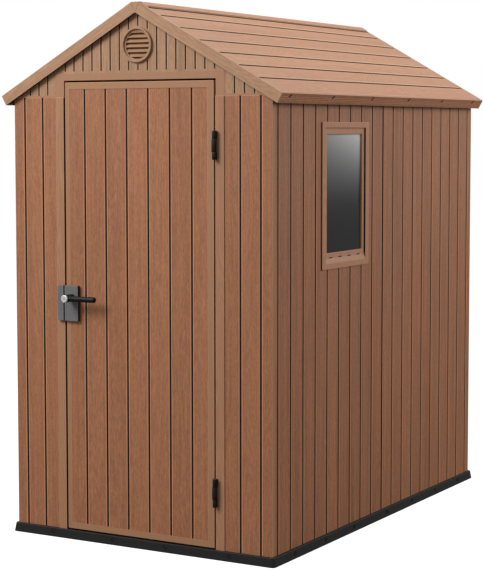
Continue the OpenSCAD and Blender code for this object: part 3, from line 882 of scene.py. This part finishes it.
steel, tree, shader, place = finish("pin_zinc")
brushed = noise(tree, place, (0.004, 0.004, 0.0006), Detail=3.0, Roughness=0.6)
tree.links.new(mixed(tree, brushed, paint(168, 170, 172), paint(205, 206, 208)), shader.inputs["Base Color"])
tree.links.new(calc(tree, "MULTIPLY_ADD", brushed, 0.25, 0.25), shader.inputs["Roughness"])
embossed(tree, shader, brushed, 0.1 * MM, 0.3)
shader.inputs["Metallic"].default_value = 1.0
for level in ("low", "high"):
    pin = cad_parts[f"hinge_{level}_pin"]
    pin.data.materials.clear()
    pin.data.materials.append(steel)

# ---------------------------------------------------------------------------
# Lock. A grey painted plate on the leaf and a keeper plate on the post, their sides and
# backs dark with painted shade, with a black lever handle and a bright key cylinder in its hub.
# The edge colour is a painted highlight and the groove colour painted shade.
GREY = {"face": paint(112, 112, 113), "vein": paint(104, 104, 106), "edge": paint(140, 140, 142),
        "groove": paint(22, 22, 23)}
plate_grey = resin("plate_grey", **GREY, lie=(SIDES["front"], UP), streak=0.06, speck=0.08, rough=0.45,
                   relief=0.1 * MM, grain=(0.02, 0.02, 0.05))
# Sides and backs of the plates take the groove's dark colour: painted shade.
shaded_plate_sides = marks(SHADED, lambda normal, place: normal.y >= -0.5)
for node, name, body in (("lock_plate_door", "lock_face", "door"),
                         ("lock_plate_jamb", "keeper_face", "shed")):
    mesh = casting(node, 1.2 * MM, reshape=shaded_plate_sides, longest=20 * MM)
    fit(mesh, name, plate_grey, body, "plate", node)

# The pale second colour is a painted edge highlight.
lever_black = black_resin("lever_black", paint(22, 22, 23), paint(80, 80, 82), 0.4, 0.9 * MM)
low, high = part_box("lever")
cap_low, cap_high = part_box("lever_cap")
hub_x, hub_z = (cap_low.x + cap_high.x) / 2, (cap_low.z + cap_high.z) / 2
hub_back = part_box("lock_plate_door")[0].y - 0.3 * MM
hub_long = (hub_back - low.y) / MM
hub = [(0, 0), (14, 0), (15, 1), (15, hub_long - 14), (14.6, hub_long - 12), (15, hub_long - 10),
       (15, hub_long - 1), (14, hub_long), (0, hub_long)]
hub_mesh = lathe(hub, (hub_x, hub_back, hub_z), SIDES["front"], 64, closed=False)
spindle = [(0, 0), (6, 0), (6, 14), (0, 14)]
spindle_mesh = lathe(spindle, (hub_x, hub_back - 1 * MM, hub_z), SIDES["back"], 32, closed=False)
GRIP = 11.0
GRIP_END = 5
grip_long = (high.x - hub_x) / MM
grip = [(0, 0), (GRIP, 0), (GRIP, 22), (GRIP - 0.8, 23), (GRIP - 0.8, 25), (GRIP, 26)]
grip += [(GRIP - GRIP_END + GRIP_END * math.cos(a), grip_long - GRIP_END + GRIP_END * math.sin(a))
         for a in [math.radians(15 * k) for k in range(7)]]
grip += [(0, grip_long)]
grip_mesh = lathe(grip, (hub_x, low.y + 12 * MM, hub_z), SIDES["right"], 64, closed=False)
handle = united(united(hub_mesh, spindle_mesh), grip_mesh)
fit(handle, "handle", lever_black, "lever", "black_part", "lever")

chrome, tree, shader, place = finish("cylinder_bright")
fine = noise(tree, place, (0.0005, 0.01, 0.004), Detail=3.0)
bright = mixed(tree, fine, paint(214, 215, 217), paint(236, 236, 237))
code = add(tree, "ShaderNodeAttribute", attribute_name="relief").outputs["Fac"]
# The key slot's floor is greyer: painted shade in the slot.
dark = calc(tree, "COMPARE", code, SHADED, NEAR)
tree.links.new(mixed(tree, dark, bright, paint(140, 140, 142)), shader.inputs["Base Color"])
tree.links.new(calc(tree, "MULTIPLY_ADD", fine, 0.15, 0.25), shader.inputs["Roughness"])
embossed(tree, shader, fine, 0.1 * MM, 0.3)
shader.inputs["Metallic"].default_value = 0.6
KEY_FACE = 6.4
cap = [(0, 0), (13.9, 0), (14.5, 0.6), (14.5, 5), (13.9, 6.3), (12.2, 7), (10.4, 7), (10.0, KEY_FACE),
       (0, KEY_FACE)]
cap_mesh = lathe(cap, (hub_x, cap_high.y, hub_z), SIDES["front"], 64, closed=False)
cap_mesh = grooved(cap_mesh, (hub_x, cap_high.y - KEY_FACE * MM, hub_z), SIDES["front"], UP, 9 * MM,
                   lip=2.2 * MM, floor=1.6 * MM, lip_depth=0.3 * MM, depth=2 * MM)
fit(cap_mesh, "key_cylinder", chrome, "lever", "bright_cap", "lever_cap")

# ---------------------------------------------------------------------------
# Studio. A floor that looks white to the camera, a white surround and three soft area
# lamps: one in front on the left, one behind on the right and a weak one on top.
scene = bpy.context.scene
scene.view_settings.view_transform = "Standard"
camera = bpy.data.objects.new("camera", bpy.data.cameras.new("camera"))
scene.collection.objects.link(camera)
scene.camera = camera
camera.location = (3.5607, -6.2514, 1.5961)
camera.rotation_euler = (math.radians(90 - 4.273), 0, math.radians(29.636))
camera.data.lens = 107.2
camera.data.shift_x = -0.0325
camera.data.shift_y = -0.0498

ground = bpy.data.meshes.new("studio_floor")
ground.from_pydata([(-30, -30, 0), (30, -30, 0), (30, 30, 0), (-30, 30, 0)], [], [(0, 1, 2, 3)])
floor = bpy.data.objects.new("studio_floor", ground)
scene.collection.objects.link(floor)
pale = bpy.data.materials.new("studio_pale")
pale.use_nodes = True
tree = pale.node_tree
tree.nodes.remove(tree.nodes["Principled BSDF"])
seen = add(tree, "ShaderNodeLightPath").outputs
matt = add(tree, "ShaderNodeBsdfDiffuse", {"Color": paint(128, 124, 120)})
white = add(tree, "ShaderNodeEmission", {"Color": (1, 1, 1, 1), "Strength": 0.9})
lit = add(tree, "ShaderNodeBsdfDiffuse", {"Color": (0.4, 0.4, 0.4, 1)})
bright = add(tree, "ShaderNodeAddShader", {0: lit.outputs[0], 1: white.outputs[0]})
both = add(tree, "ShaderNodeMixShader", {0: seen["Is Camera Ray"], 1: matt.outputs[0], 2: bright.outputs[0]})
tree.links.new(both.outputs[0], tree.nodes["Material Output"].inputs[0])
ground.materials.append(pale)

world = bpy.data.worlds.new("studio")
scene.world = world
world.use_nodes = True
tree = world.node_tree
seen = add(tree, "ShaderNodeLightPath").outputs
share = calc(tree, "MAXIMUM", calc(tree, "MAXIMUM", seen["Is Camera Ray"], seen["Is Glossy Ray"]),
             seen["Is Transmission Ray"])
soft = add(tree, "ShaderNodeBackground", {"Color": (1, 1, 1, 1), "Strength": 0.3})
white = add(tree, "ShaderNodeBackground", {"Color": (1, 1, 1, 1), "Strength": 1.0})
both = add(tree, "ShaderNodeMixShader", {0: share, 1: soft.outputs[0], 2: white.outputs[0]})
tree.links.new(both.outputs[0], tree.nodes["World Output"].inputs[0])

for name, spot, aim, size, power in (
    ("lamp_key", (-2.6, -5.2, 5.0), (0, 0, 1.4), 3.0, 350.0),
    ("lamp_side", (5.2, 2.7, 3.5), (0.6, 0.3, 1.4), 3.0, 142.0),
    ("lamp_top", (0.2, 0.2, 3.7), (0.2, 0.2, 1.6), 1.6, 12.0),
):
    lamp = bpy.data.objects.new(name, bpy.data.lights.new(name, "AREA"))
    lamp.data.size = size
    lamp.data.energy = power
    lamp.location = spot
    lamp.rotation_euler = (Vector(aim) - Vector(spot)).to_track_quat("-Z", "Y").to_euler()
    scene.collection.objects.link(lamp)
